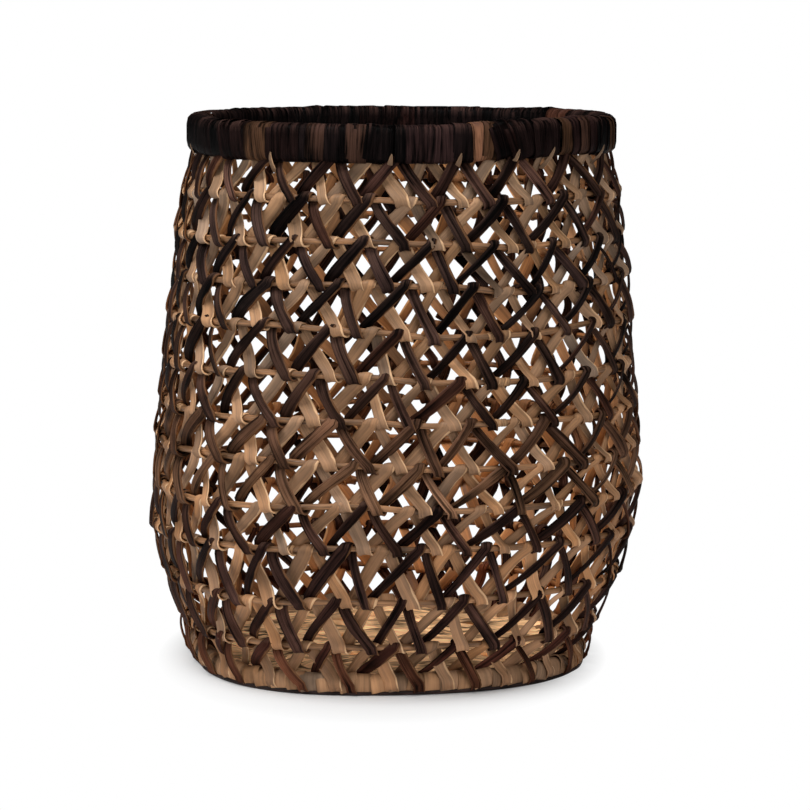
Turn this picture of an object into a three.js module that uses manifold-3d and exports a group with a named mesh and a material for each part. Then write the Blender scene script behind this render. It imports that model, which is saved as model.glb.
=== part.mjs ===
// A tall open basket: cane hoops joined by pairs of laced strips, with a bound rim and a leaf mat for a floor.
// Millimetres, +Z up. The origin is on the ground, under the middle of the basket where it is widest.
import * as THREE from "three";
import { mergeVertices } from "three/addons/utils/BufferGeometryUtils.js";
import Module from "manifold-3d";

const wasm = await Module();
wasm.setup();

// Size and outline of the wall, measured to the middle of the canes
const HEIGHT = 450;
const SHOULDER_RADIUS = 166; // where the wall would reach the full height
const RIM_TUCK = 5; // how much closer than the wall the rim's cane stands
const BELLY_RADIUS = 197;
const BASE_RADIUS = 153;
const BELLY_HEIGHT = 148;
const UPPER_BEND = 1.15; // 1 is a straight cone, more is rounder
const LOWER_BEND = 1.6;
const PLAN_SQUARENESS = 2.45; // 2 is a circle, more is squarer
const PLAN_TURN = 6; // degrees that the soft corners stand off the diagonals
const RIM_LEAN = 4.6; // sideways, from the widest part to the top
const LEAN_BEND = 0.5; // less than 1: the wall leans soonest above its widest part
const BASE_LEAN = 10.5; // the same way, from the ground to the widest part

// Canes
const CANE = 6; // diameter
const ROD_SIDES = 6;
const CANE_DRIFTS = [-1.7, -0.3, 2, 1.3, 0.2, 1, 2.3, 2.7, 1, -3.2, -6.3]; // of the wall canes, above even places

// Laces
const TURNS = 22; // folds of one lace over a cane in one round
const LACE_THICK = 1.2;
const LACE_SHARE = 0.13; // width along the cane, as a share of the way from one fold to the next
const FOLD_SHARE = 0.04; // how far a lace moves on while it folds over a cane, of the same way
const FIRST_FOLD = -96.5; // degrees

// Rim
const RIM_DEPTH = 31;
const RIM_SKIN = 2;
const RIM_SHOULDER = 4.5; // how far its corners are cut off
const RIM_CANE_DROP = 26; // from the top of the rim to the middle of its lowest cane

// Floor
const BINDING_HEIGHT = 7;
const BINDING_WIDTH = 26;
const BINDING_OVERHANG = 7; // past the middle of the wall at the ground
const BINDING_FLANGE = 2;
const EDGE_CORD = 4; // diameter of the cord along the basket's lowest edge
const MAT_TONGUE = 17.5; // how far the mat's edge reaches into its binding
const MAT_TOP = 8.5;
const MAT_GROOVE = 2.5; // depth of the grooves between the leaf cords
const CORD_PITCH = 14;

const FIT = 0.4; // gap between pieces that touch

const degrees = THREE.MathUtils.degToRad;
const ringSteps = 2 * TURNS;
// Share of the radius that a ring's chord lies inside the arc, at its middle and a quarter step from its corners,
// which is where the laces fold over it.
const chordSag = 1 - Math.cos(Math.PI / ringSteps);
const chordLoss = 0.75 * chordSag;
const foldRise = CANE / 2 + FIT + LACE_THICK / 2;

// Heights of the canes from the rim down; the lowest is the base cane
const rimCaneHeight = HEIGHT - RIM_CANE_DROP;
const baseCaneHeight = BINDING_HEIGHT + FIT + LACE_THICK / 2 + foldRise;
const caneSpacing = (rimCaneHeight - baseCaneHeight) / (CANE_DRIFTS.length + 1);
const wallCaneHeights = CANE_DRIFTS.map((drift, i) => rimCaneHeight - (i + 1) * caneSpacing + drift);
const heights = [rimCaneHeight, ...wallCaneHeights, baseCaneHeight];

// The wall's radius at a height, and how far its middle stands sideways there
function wallAt(height) {
  const above = height > BELLY_HEIGHT;
  const share = above ? (height - BELLY_HEIGHT) / (HEIGHT - BELLY_HEIGHT) : 1 - height / BELLY_HEIGHT;
  const taken = (BELLY_RADIUS - (above ? SHOULDER_RADIUS : BASE_RADIUS)) * share ** (above ? UPPER_BEND : LOWER_BEND);
  const tuck = height === rimCaneHeight ? RIM_TUCK : 0;
  return {
    radius: BELLY_RADIUS - taken - tuck,
    middle: above ? RIM_LEAN * share ** LEAN_BEND : -BASE_LEAN * share,
  };
}

function planShare(angle) {
  const turned = angle - degrees(PLAN_TURN);
  const across = Math.abs(Math.cos(turned)) ** PLAN_SQUARENESS;
  const along = Math.abs(Math.sin(turned)) ** PLAN_SQUARENESS;
  return (across + along) ** (-1 / PLAN_SQUARENESS);
}

// A point of the wall at a cane's height, moved outwards and up from the middle of the cane
function wallPoint(angle, height, out = 0, rise = 0) {
  const wall = wallAt(height);
  const radius = wall.radius * planShare(angle) + out;
  return [wall.middle + radius * Math.cos(angle), radius * Math.sin(angle), height + rise];
}

// A closed solid through rings of points. Each ring runs anticlockwise as seen along the way that the rings follow.
function loft(rings) {
  const corners = rings[0].length;
  const index = [];
  rings.forEach((ring, i) => {
    const here = i * corners;
    const next = ((i + 1) % rings.length) * corners;
    ring.forEach((point, j) => {
      const k = (j + 1) % corners;
      index.push(here + j, next + j, next + k);
      index.push(here + j, next + k, here + k);
    });
  });
  const geometry = new THREE.BufferGeometry();
  geometry.setAttribute("position", new THREE.Float32BufferAttribute(rings.flat(2), 3));
  geometry.setIndex(index);
  geometry.computeVertexNormals();
  return geometry;
}

// A ring round the basket, from the corners of its section: each is how far it lies outside and above the middle
function wallRing(height, section) {
  const step = (2 * Math.PI) / ringSteps;
  const growth = wallAt(height).radius * chordLoss;
  const rings = Array.from({ length: ringSteps }, (_, i) => {
    const angle = degrees(FIRST_FOLD) + (i + 0.25) * step;
    return section.map(([out, rise]) => wallPoint(angle, height, out + growth, rise));
  });
  return loft(rings);
}

// A round rod bent round the basket, its middle a given way outside and above that of the wall
function roundRing(height, diameter, out = 0, rise = 0) {
  const section = Array.from({ length: ROD_SIDES }, (_, i) => {
    const angle = (2 * Math.PI * (i + 0.5)) / ROD_SIDES;
    return [out + (diameter / 2) * Math.cos(angle), rise + (diameter / 2) * Math.sin(angle)];
  });
  return wallRing(height, section);
}

// How far out of the canes' middles a lace folds, so that it clears both canes where it passes them on its slope
function laceReach(lower, upper) {
  const passed = foldRise / (upper - lower + 2 * foldRise); // share of the climb between a fold and its cane
  const [above, below] = [wallAt(upper), wallAt(lower)];
  const leaning = Math.abs(above.middle - below.middle) * passed;
  const clear = foldRise + BELLY_RADIUS * chordSag + leaning;
  const widening = (above.radius - below.radius) * passed;
  return { rising: (clear + widening) / (1 - 2 * passed), falling: (clear - widening) / (1 - 2 * passed) };
}

// One lace, wound in a figure of eight round two canes: up inside the lower cane and outside the upper one, over it,
// down inside the upper cane and outside the lower one, and under that. It is a split strip, flat on one face.
function lace(lower, upper, start) {
  const reach = laceReach(lower, upper);
  const half = LACE_THICK / 2;
  const way = (2 * Math.PI) / TURNS;
  const halfWidth = (LACE_SHARE * way) / 2;
  const halfFold = (FOLD_SHARE * way) / 2;
  const folds = [
    { at: halfFold, height: lower, out: -reach.rising, rise: -foldRise, face: half },
    { at: way / 2 - halfFold, height: upper, out: reach.rising, rise: foldRise, face: half },
    { at: way / 2 + halfFold, height: upper, out: -reach.falling, rise: foldRise, face: -half },
    { at: way - halfFold, height: lower, out: reach.falling, rise: -foldRise, face: -half },
  ];
  const rings = [];
  for (let turn = 0; turn < TURNS; turn += 1) {
    for (const fold of folds) {
      const angle = start + turn * way + fold.at;
      const flat = [fold.out + fold.face, fold.rise + half];
      rings.push([
        wallPoint(angle + halfWidth, fold.height, ...flat),
        wallPoint(angle - halfWidth, fold.height, ...flat),
        wallPoint(angle, fold.height, fold.out - fold.face, fold.rise - half),
      ]);
    }
  }
  return loft(rings);
}

// The rim: a bound core over the highest cane, which the top row of laces holds
const rimReach = laceReach(heights[1], heights[0]);
const rimSag = wallAt(rimCaneHeight).radius * chordSag;
const rimRoom = Math.max(rimReach.rising, rimReach.falling) + LACE_THICK / 2 + rimSag + FIT;
const rimTop = HEIGHT - rimCaneHeight;

function rimBinding() {
  const out = rimRoom + RIM_SKIN;
  const bottom = rimTop - RIM_DEPTH;
  const ceiling = rimTop - RIM_SKIN;
  return wallRing(rimCaneHeight, [
    [out, bottom + RIM_SHOULDER],
    [out, rimTop - RIM_SHOULDER],
    [out - RIM_SHOULDER, rimTop],
    [RIM_SHOULDER - out, rimTop],
    [-out, rimTop - RIM_SHOULDER],
    [-out, bottom + RIM_SHOULDER],
    [-rimRoom, bottom],
    [-rimRoom, ceiling - RIM_SHOULDER],
    [RIM_SHOULDER - rimRoom, ceiling],
    [rimRoom - RIM_SHOULDER, ceiling],
    [rimRoom, ceiling - RIM_SHOULDER],
    [rimRoom, bottom],
  ]);
}

function rimCore() {
  const out = rimRoom - FIT;
  const top = rimTop - RIM_SKIN - FIT;
  const bottom = foldRise + LACE_THICK / 2 + FIT;
  return wallRing(rimCaneHeight, [
    [out, bottom],
    [out, top - RIM_SHOULDER],
    [out - RIM_SHOULDER, top],
    [RIM_SHOULDER - out, top],
    [-out, top - RIM_SHOULDER],
    [-out, bottom],
  ]);
}

// The floor: a mat of leaf cords whose edge is held in a binding under the lowest cane
const bindingInner = BINDING_OVERHANG - BINDING_WIDTH;
const grooveInner = bindingInner + MAT_TONGUE + FIT;
const cordSeat = EDGE_CORD + FIT;

function baseBinding() {
  return wallRing(0, [
    [BINDING_OVERHANG - cordSeat, 0],
    [BINDING_OVERHANG - cordSeat, cordSeat],
    [BINDING_OVERHANG, cordSeat],
    [BINDING_OVERHANG, BINDING_HEIGHT],
    [bindingInner, BINDING_HEIGHT],
    [bindingInner, BINDING_HEIGHT - BINDING_FLANGE],
    [grooveInner, BINDING_HEIGHT - BINDING_FLANGE],
    [grooveInner, BINDING_FLANGE],
    [bindingInner, BINDING_FLANGE],
    [bindingInner, 0],
  ]);
}

function edgeCord() {
  return roundRing(0, EDGE_CORD, BINDING_OVERHANG - EDGE_CORD / 2, EDGE_CORD / 2);
}

function solidOf(geometry) {
  const bare = geometry.clone();
  bare.deleteAttribute("normal");
  bare.deleteAttribute("uv");
  const merged = mergeVertices(bare);
  return new wasm.Manifold(
    new wasm.Mesh({
      numProp: 3,
      vertProperties: merged.attributes.position.array,
      triVerts: Uint32Array.from(merged.index.array),
    }),
  );
}

function geometryOf(solid) {
  const mesh = solid.getMesh();
  const geometry = new THREE.BufferGeometry();
  geometry.setAttribute("position", new THREE.BufferAttribute(mesh.vertProperties, mesh.numProp));
  geometry.setIndex(new THREE.BufferAttribute(mesh.triVerts, 1));
  geometry.computeVertexNormals();
  return geometry;
}

// A flat plate of the basket's plan, reaching to a given way outside the middle of the wall at the ground
function planPlate(out, bottom, top) {
  const edge = Array.from({ length: ringSteps }, (_, i) => {
    const angle = degrees(FIRST_FOLD) + ((i + 0.25) * 2 * Math.PI) / ringSteps;
    return new THREE.Vector2(...wallPoint(angle, 0, out + BASE_RADIUS * chordLoss));
  });
  const plate = new THREE.ExtrudeGeometry(new THREE.Shape(edge), { depth: top - bottom, bevelEnabled: false });
  return plate.translate(0, 0, bottom);
}

// A slab with a flat underside and one ridge for each leaf cord
function ribbedSlab() {
  const cords = 2 * Math.ceil(BASE_RADIUS / CORD_PITCH);
  const reach = (cords * CORD_PITCH) / 2;
  const profile = new THREE.Shape();
  profile.moveTo(-reach, 0);
  profile.lineTo(reach, 0);
  for (let i = 0; i < cords; i += 1) {
    const side = reach - i * CORD_PITCH;
    profile.lineTo(side, MAT_TOP - MAT_GROOVE);
    profile.lineTo(side - CORD_PITCH / 4, MAT_TOP);
    profile.lineTo(side - (3 * CORD_PITCH) / 4, MAT_TOP);
  }
  profile.lineTo(-reach, MAT_TOP - MAT_GROOVE);
  const slab = new THREE.ExtrudeGeometry(profile, { depth: 2 * reach, bevelEnabled: false });
  return slab.translate(0, 0, -reach).rotateX(Math.PI / 2).rotateZ(Math.PI / 2);
}

function baseMat() {
  const body = solidOf(planPlate(bindingInner - FIT, 0, 2 * MAT_TOP)).intersect(solidOf(ribbedSlab()));
  const tongueTop = BINDING_HEIGHT - BINDING_FLANGE - FIT;
  const tongue = solidOf(planPlate(grooveInner - FIT, BINDING_FLANGE + FIT, tongueTop));
  return geometryOf(body.add(tongue));
}

const finish = {
  cane: { color: 0x9a7650, roughness: 0.55, metalness: 0 },
  darkStrip: { color: 0x2a1c1a, roughness: 0.75, metalness: 0 },
  paleStrip: { color: 0x9c7855, roughness: 0.8, metalness: 0 },
  bark: { color: 0x30201d, roughness: 0.85, metalness: 0 },
  leaf: { color: 0xb0875c, roughness: 0.9, metalness: 0 },
};

const basket = new THREE.Group();

function add(group, name, geometry, looks) {
  const mesh = new THREE.Mesh(geometry, new THREE.MeshStandardMaterial(looks));
  mesh.name = name;
  group.add(mesh);
}

const rim = new THREE.Group();
add(rim, "rim_binding", rimBinding(), finish.bark);
add(rim, "rim_core", rimCore(), finish.cane);
add(rim, "rim_cane", roundRing(rimCaneHeight, CANE), finish.cane);
basket.add(rim);

const wall = new THREE.Group();
// Every cane takes four folds to a way, evenly spaced: a dark and a pale one from each of its two rows.
const paleLag = (3 / 4) * (360 / TURNS);
for (let row = 1; row < heights.length; row += 1) {
  const upper = heights[row - 1];
  const lower = heights[row];
  const number = String(row).padStart(2, "0");
  const isLast = row === heights.length - 1;
  add(wall, isLast ? "base_cane" : `wall_cane_${number}`, roundRing(lower, CANE), finish.cane);
  add(wall, `dark_lace_${number}`, lace(lower, upper, degrees(FIRST_FOLD)), finish.darkStrip);
  add(wall, `pale_lace_${number}`, lace(lower, upper, degrees(FIRST_FOLD + paleLag)), finish.paleStrip);
}
basket.add(wall);

const floor = new THREE.Group();
add(floor, "base_binding", baseBinding(), finish.paleStrip);
add(floor, "base_mat", baseMat(), finish.leaf);
add(floor, "edge_cord", edgeCord(), finish.darkStrip);
basket.add(floor);

export default basket;
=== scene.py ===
"""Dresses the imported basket: cane hoops, laced strips, a bark-bound rim, a pleated base and a leaf mat."""

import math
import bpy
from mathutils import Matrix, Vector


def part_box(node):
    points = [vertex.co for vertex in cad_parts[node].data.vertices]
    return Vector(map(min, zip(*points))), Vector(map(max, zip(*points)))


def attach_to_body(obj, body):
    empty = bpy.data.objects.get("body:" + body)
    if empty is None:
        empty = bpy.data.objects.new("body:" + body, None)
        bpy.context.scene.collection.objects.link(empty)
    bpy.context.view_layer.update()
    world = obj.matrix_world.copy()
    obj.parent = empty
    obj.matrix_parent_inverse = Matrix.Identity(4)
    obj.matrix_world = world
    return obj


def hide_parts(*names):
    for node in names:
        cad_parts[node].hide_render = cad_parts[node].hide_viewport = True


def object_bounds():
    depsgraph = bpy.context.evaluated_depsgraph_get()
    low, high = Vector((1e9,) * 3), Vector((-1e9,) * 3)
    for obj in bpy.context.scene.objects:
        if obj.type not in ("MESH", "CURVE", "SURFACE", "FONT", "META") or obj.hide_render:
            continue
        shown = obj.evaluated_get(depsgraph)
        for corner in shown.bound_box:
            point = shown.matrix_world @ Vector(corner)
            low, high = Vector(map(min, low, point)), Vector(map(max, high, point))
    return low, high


bl_info = {
    "name": "Laced Cane Basket",
    "version": (1, 0, 0),
    "blender": (4, 5, 0),
    "location": "View3D > Sidebar > Basket",
    "description": "Builds a tall open basket of cane hoops and laced strips round its packed frame",
    "category": "Add Mesh",
}

import bpy
import numpy as np
from mathutils import Vector

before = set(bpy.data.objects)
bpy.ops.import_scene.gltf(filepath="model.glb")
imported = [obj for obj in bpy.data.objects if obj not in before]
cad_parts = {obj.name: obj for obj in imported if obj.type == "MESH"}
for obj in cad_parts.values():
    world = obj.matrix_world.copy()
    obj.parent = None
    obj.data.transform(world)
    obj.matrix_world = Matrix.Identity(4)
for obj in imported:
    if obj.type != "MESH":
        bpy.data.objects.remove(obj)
cad_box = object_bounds()

MM = 0.001
UP = np.array([0.0, 0.0, 1.0])
FRONT = -math.pi / 2  # the angle of the side that faces the camera

# The basket's plan, as in its solids
PLAN_SQUARENESS = 2.45
PLAN_TURN = math.radians(6)
SOLID_CANE_REACH = 2.6 * MM  # from the middle of a six-sided cane to its flat side
CAMERA_SHIFT = 8.2 * MM  # to the right of the basket's middle

# The base is pressed in on its left front side: degrees from the front, and depth at the lowest hoops
DENT_PLACE = -66
DENT_SPREAD = 27
DENT_DEPTHS = {0: 8 * MM, 1: 5 * MM, 2: 2 * MM}

# How far a cane strays up at each of LIFT_PLACES, from the rim's cane down
LIFT_PLACES = (-50, -30, -10, 10, 30, 50)
LIFTS = (
    (-0.5, -1.5, -2, -2.5, 0.5, 2),
    (3.5, 3, 2, -0.5, -0.5, 2.5),
    (0.5, 3, 3, 0.5, -2.5, 0),
    (1.5, 2, 2, 0.5, -5, -1.5),
    (4, 5.5, 2, -3.5, -3, 2),
    (2, 4, 2.5, -2.5, -3, 0),
    (1, 1.5, 1.5, -2, -0.5, -1.5),
    (3.5, 3.5, 1, -2.5, -2.5, -2.5),
    (0.5, 1.5, 4, -0.5, 0, 0),
    (3, 4, 6.5, 5, 4.5, 4),
    (0, -1, 1, -0.5, 2.5, 2),
    (0, 0, 0, 0, 0, 1),
    (0, 0, 0, 0, 0, 0),
)

ROWS = 12
CANE_NODES = ["rim_cane"] + [f"wall_cane_{i:02d}" for i in range(1, ROWS)] + ["base_cane"]

# Where thin strips lash a cane's ends: the hoop's number from the rim, and degrees from the front
TIES = (
    (4, 22), (5, 24), (6, 23), (4, 67), (5, 65), (6, 65), (7, 62),
    (6, -61), (5, -44), (9, -24), (8, 150), (3, -140), (10, 110),
)
TIE_LOOPS = 4
TIE_STEP = 0.0115  # radians from one loop of a tie to the next

# Shares of its wander that a cane keeps: in and out, and where it is bound in
SWAY_SHARE = 0.7
HELD_SHARE = 0.25

KNOTS = 4  # on each cane
KNOT_SPREAD = 0.02  # in radians

# Each loop or cord takes its grain from the next stretch of one long strip
LOOP_STRETCH = 0.12
CORD_STRETCH = 0.4

# Where pale strips end over the rim's binding, in degrees from the front
TIP_PLACES = (-33.5, -3.0, 14.5, 29.5, 39.5, 60.0, 97.0, 141.0, -152.0, -104.0, -71.0)

# Where the dark strips fold under the lower cane of each row, in degrees from the front
DARK_FOLDS = (6.8, 1.2, -1.6, -7.8, -8.9, -11.4, -6.8, -2.5, 1.4, -3.0, -4.2, -6.3)

# How a lace runs
FOLD_LEAN = math.radians(37)  # how far past level a strip leaves or meets its fold
FOLD_STRAY = 0.8  # how far a fold strays as a rule, as a share of the weave's wander
FALLING_BOW = 1.18  # a falling strip is steeper near its top
BASE_FOLD = (4.4 * MM, 2.6 * MM, -3.4 * MM)  # added half width, half height and lift, to take in the pleats

# How a lace varies from one run to the next
WIDTH_RANGE = (0.78, 1.16)
WIDTH_RIPPLE = 0.04
TWIST = 0.15  # in radians
TWISTED_SHARE = 0.12  # of the runs, which turn by an amount in TWIST_RANGE
TWIST_RANGE = (0.25, 0.42)

# The rim
RIM_HALF_WIDTH = 9.7 * MM
RIM_DROP = 1 * MM  # left free under the solid's top, for the ridges of the bark
RIM_LEAN = (31, 6, 0.4)  # where its turns lean: degrees from the front, spread and slope
CORE_WIDTH = 13 * MM
CORE_SLACK = 3 * MM  # between the core's height and its solid's
LOOP_BREADTHS = (0.85, 1.2)  # of a binding's loops, as shares

# The outline that the base's pleats are looped round: millimetres out from the cane and up from the ground
PLEAT_SECTION = ((-20, 2.4), (5.2, 2.4), (6.6, 6), (6.2, 13), (1.5, 17), (-4.5, 15), (-9, 9.2), (-20, 8.6))
PLEAT_THICKNESS = 1.1 * MM
EDGE_OFFSET = 5.2 * MM  # of the edge cord, out from the base cane

# The mat
MAT_INSET = 14 * MM  # from the base cane in to the cords' ends
CORD_STEP = 2 * MM  # from one point of a cord to the next
CORD_OVERLAP = 1.3
CORD_ROLL = 0.6  # in radians, to and fro
ROLL_LENGTH = 17 * MM
MAT_CURVES = 9  # radians of the mat's common wave in a metre

# The lamps: name, place and size in metres, and power in watts
LAMPS = (
    ("top_lamp", (-0.5, -0.7, 2.2), 1.2, 46),
    ("front_lamp", (0.9, -2.4, 1.3), 1.4, 26),
    ("side_lamp", (-2.2, -0.6, 0.9), 1.0, 16),
)
LAMP_AIM = (0, 0, 0.2)
ROOM_LIGHT = 0.18
GLOSSY_SHARE = 0.2  # of the room's light, in what glossy surfaces reflect
FLOOR_REACH = 4

# Each kind of piece draws random numbers of its own
DRAWS = {"dark": 1, "pale": 2, "cane": 3, "rim": 4, "base": 5, "edge": 6, "mat": 7, "ties": 8}


def srgb(red, green, blue):
    """A linear colour from sRGB values of 0 to 255."""
    parts = [value / 255 for value in (red, green, blue)]
    return [part / 12.92 if part <= 0.04045 else ((part + 0.055) / 1.055) ** 2.4 for part in parts]


def every_srgb(*colours):
    return [srgb(*colour) for colour in colours]


# Middle colours of the dark strips' two faces, row by row from the rim down
BARK_TINTS = every_srgb(
    (34, 20, 16), (20, 12, 10), (16, 10, 9), (14, 9, 8),
    (22, 13, 10), (31, 19, 14), (62, 42, 30), (80, 56, 40),
    (33, 19, 15), (28, 16, 13), (30, 17, 14), (46, 24, 18),
)
BACK_TINTS = every_srgb(
    (52, 35, 29), (42, 30, 26), (40, 28, 25), (46, 32, 27),
    (44, 30, 24), (44, 29, 23), (66, 45, 33), (84, 60, 44),
    (44, 28, 22), (40, 26, 22), (54, 36, 30), (78, 46, 32),
)
TAN = srgb(100, 68, 50)
GOLD_BROWN = srgb(54, 36, 24)
RUSSET = srgb(62, 36, 26)
UMBER = srgb(48, 32, 25)
TIE_COLOUR = srgb(158, 120, 84)
CORE_COLOUR = srgb(34, 24, 20)
EDGE_COLOUR = srgb(40, 28, 26)
# Painted highlights on the ridges that face up: of the rim's bark, and of the dark strips
BARK_TOP_HIGHLIGHT = srgb(66, 46, 41)
STRIP_TOP_HIGHLIGHT = srgb(84, 62, 52)
DARK_CUT = srgb(104, 72, 48)  # the paler edges that splitting leaves
PALE_CUT = srgb(206, 166, 126)
DARKEST = 0.0015

# Painted warm light, multiplied into the colour of the faces that turn inwards
INSIDE_WARM_LIGHT = (1.08, 0.84, 0.6)
DARK_INSIDE_WARM_LIGHT = (1.25, 1, 0.8)

# How the laces' colours vary: with the tone of a run, with its warmth, and from row to row
DARK_TONE = 0.32
PALE_TONE = 0.19
PALE_WARMTH = (0.06, 0.0, -0.1)
PALE_DRIFT = 0.012

# Browner turns of the rim's bark: degrees from the front, half their spread, and colour
RIM_BROWNS = (
    (-37.0, 2.2, GOLD_BROWN), (-29.7, 1.2, UMBER), (-21.5, 1.0, UMBER),
    (-11.0, 1.0, UMBER), (20.8, 1.7, TAN), (24.4, 1.2, GOLD_BROWN),
    (46.5, 2.0, GOLD_BROWN), (54.0, 1.8, UMBER), (70.0, 3.5, GOLD_BROWN),
    (125.3, 4.0, RUSSET), (150.3, 1.3, TAN), (-162.1, 1.5, RUSSET),
    (-100.0, 3.0, UMBER),
)


def metres(name, description, default):
    """A setting that is a length."""
    given = {"name": name, "description": description, "default": default}
    return bpy.props.FloatProperty(**given, subtype="DISTANCE", unit="LENGTH")


def fraction(name, description, default):
    return bpy.props.FloatProperty(name=name, description=description, default=default, subtype="FACTOR")


def paint(name, description, default):
    given = {"name": name, "description": description, "default": default}
    return bpy.props.FloatVectorProperty(**given, size=3, subtype="COLOR")


class BasketWeave(bpy.types.PropertyGroup):
    turns: bpy.props.IntProperty(name="Turns", description="Folds of one lace in a round", default=22, min=8)
    rise_share: fraction("Rise share", "Share of a turn that a strip takes to climb", 0.58)
    fold_share: fraction("Fold share", "Share of a turn that a strip moves on in a fold", 0.09)
    pale_lag: bpy.props.FloatProperty(
        name="Pale lag", description="How far a pale strip follows its dark one, in turns", default=0.54
    )
    dark_width: metres("Dark width", "Width of a dark strip", 9.3 * MM)
    pale_width: metres("Pale width", "Width of a pale strip", 10.0 * MM)
    thickness: metres("Thickness", "Thickness of a strip", 1.7 * MM)
    dark_reach: metres("Dark reach", "Radius of a dark fold", 4.7 * MM)
    pale_reach: metres("Pale reach", "Radius of a pale fold", 3.5 * MM)
    wander: bpy.props.FloatProperty(
        name="Wander", description="How far a fold strays along its cane, in degrees", default=1.1, min=0
    )


class BasketCane(bpy.types.PropertyGroup):
    thickness: metres("Thickness", "Thickness of a cane", 4.8 * MM)
    wander: metres("Wander", "How far a hoop strays from its place", 1.1 * MM)
    colour: paint("Colour", "Colour of the canes", srgb(126, 90, 60))


class BasketRim(bpy.types.PropertyGroup):
    wraps: bpy.props.IntProperty(name="Wraps", description="Turns of bark round the rim", default=104, min=20)
    breadth: metres("Breadth", "Width of a strip of bark", 16.5 * MM)
    thickness: metres("Thickness", "Thickness of the bark", 0.65 * MM)
    colour: paint("Colour", "Colour of the bark", srgb(10, 6, 6))


class BasketFloor(bpy.types.PropertyGroup):
    pleats: bpy.props.IntProperty(
        name="Pleats", description="Loops of strip round the base", default=76, min=20
    )
    pleat_breadth: metres("Pleat breadth", "Width of a loop", 18 * MM)
    cord_pitch: metres("Cord pitch", "From one leaf cord to the next", 14 * MM)
    leaf_colour: paint("Leaf colour", "Colour of the leaf cords", srgb(226, 180, 132))
    pale_colour: paint("Pale colour", "Colour of the pale strips", srgb(141, 106, 77))


class BasketStage(bpy.types.PropertyGroup):
    camera_distance: metres("Camera distance", "From the basket's axis", 2.5)
    camera_height: metres("Camera height", "Above the ground", 0.5445)
    aim_height: metres("Aim height", "Height that the camera looks at", 0.208)
    lens: bpy.props.FloatProperty(
        name="Lens", description="Focal length", default=135.2, subtype="DISTANCE_CAMERA"
    )


def plan_share(angle):
    """How far out the plan reaches at an angle, as a share of its radius."""
    turned = angle - PLAN_TURN
    across = np.abs(np.cos(turned)) ** PLAN_SQUARENESS
    along = np.abs(np.sin(turned)) ** PLAN_SQUARENESS
    return (across + along) ** (-1 / PLAN_SQUARENESS)


def outward(angle):
    return np.stack([np.cos(angle), np.sin(angle), np.zeros_like(angle)], axis=-1)


def unit(vectors):
    return vectors / np.linalg.norm(vectors, axis=1)[:, None]


def degrees_from_front(angle):
    """Degrees round from the side that faces the camera, more to the right, from -180 to 180."""
    return (np.degrees(angle - FRONT) + 180) % 360 - 180


def round_wave(rng, size, lowest, highest):
    """A smooth random wave that closes round the basket, as a function of the angle."""
    orders = np.arange(lowest, highest)
    sizes = rng.normal(size=len(orders)) * size * math.sqrt(2 / len(orders))
    phases = rng.uniform(0, 2 * math.pi, len(orders))
    return lambda angle: (sizes * np.cos(np.multiply.outer(angle, orders) + phases)).sum(axis=-1)


class Hoop:
    """The middle line of a cane, where its solid stands, with the small wander of a bent cane."""

    def __init__(self, node, wander, flattened, lifts, seed):
        low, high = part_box(node)
        every = np.linspace(0, 2 * math.pi, 720)
        widest = (plan_share(every) * np.cos(every)).max()
        self.middle = np.array([(low.x + high.x) / 2, (low.y + high.y) / 2, (low.z + high.z) / 2])
        self.radius = ((high.x - low.x) / 2 - SOLID_CANE_REACH) / widest
        rng = np.random.default_rng(seed)
        self.sway = round_wave(rng, wander * SWAY_SHARE, 2, 8)
        self.stray = round_wave(rng, wander, 2, 10)
        self.flattened = flattened
        self.lifts = np.array(lifts) * MM

    def lift(self, angle):
        """The known lifts near the front, eased into each other and into a random wave all round."""
        gap = LIFT_PLACES[1] - LIFT_PLACES[0]
        away = np.abs(np.subtract.outer(degrees_from_front(angle), LIFT_PLACES))
        shares = (1 + np.cos(math.pi * np.clip(away / gap, 0, 1))) / 2
        return shares @ self.lifts + (1 - shares.sum(axis=-1)) * self.stray(angle)

    def point(self, angle, out=0.0, rise=0.0):
        dent = np.exp(-(((degrees_from_front(angle) - DENT_PLACE) / DENT_SPREAD) ** 2))
        reach = self.radius * plan_share(angle) + self.sway(angle) - self.flattened * dent + out
        return self.middle + outward(angle) * reach[:, None] + np.multiply.outer(self.lift(angle) + rise, UP)


hoops = []


def measure_hoops(cane):
    """Reads the hoops' places from the frame. What binds the two at the ends holds them nearly still."""
    hoops.clear()
    for i, node in enumerate(CANE_NODES):
        held = node in ("rim_cane", "base_cane")
        flattened = DENT_DEPTHS.get(ROWS - i, 0.0)
        wander = cane.wander * (HELD_SHARE if held else 1)
        hoops.append(Hoop(node, wander, flattened, LIFTS[i], 100 + i))


# Node trees and materials


def feed(tree, kind, sources=None, **options):
    """Adds a node, sets its options and sockets, and returns its outputs."""
    node = tree.nodes.new(kind)
    for option, value in options.items():
        setattr(node, option, value)
    for socket, source in (sources or {}).items():
        if isinstance(source, bpy.types.NodeSocket):
            tree.links.new(source, node.inputs[socket])
        else:
            node.inputs[socket].default_value = source
    return node.outputs


def maths(tree, operation, first, second=0.0):
    return feed(tree, "ShaderNodeMath", {0: first, 1: second}, operation=operation)[0]


def times(tree, first, second):
    return maths(tree, "MULTIPLY", first, second)


def plus(tree, first, second):
    return maths(tree, "ADD", first, second)


def spread(tree, value, low, high, to_low=0.0, to_high=1.0):
    sources = {"Value": value, 1: low, 2: high, 3: to_low, 4: to_high}
    return feed(tree, "ShaderNodeMapRange", sources)[0]


def combined(tree, x=0.0, y=0.0, z=0.0):
    return feed(tree, "ShaderNodeCombineXYZ", {0: x, 1: y, 2: z})[0]


def vector_maths(tree, operation, first, second=(0, 0, 0)):
    """Returns both outputs, a vector and a number."""
    return feed(tree, "ShaderNodeVectorMath", {0: first, 1: second}, operation=operation)


def scaled(tree, vector, factor):
    return feed(tree, "ShaderNodeVectorMath", {0: vector, "Scale": factor}, operation="SCALE")[0]


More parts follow.
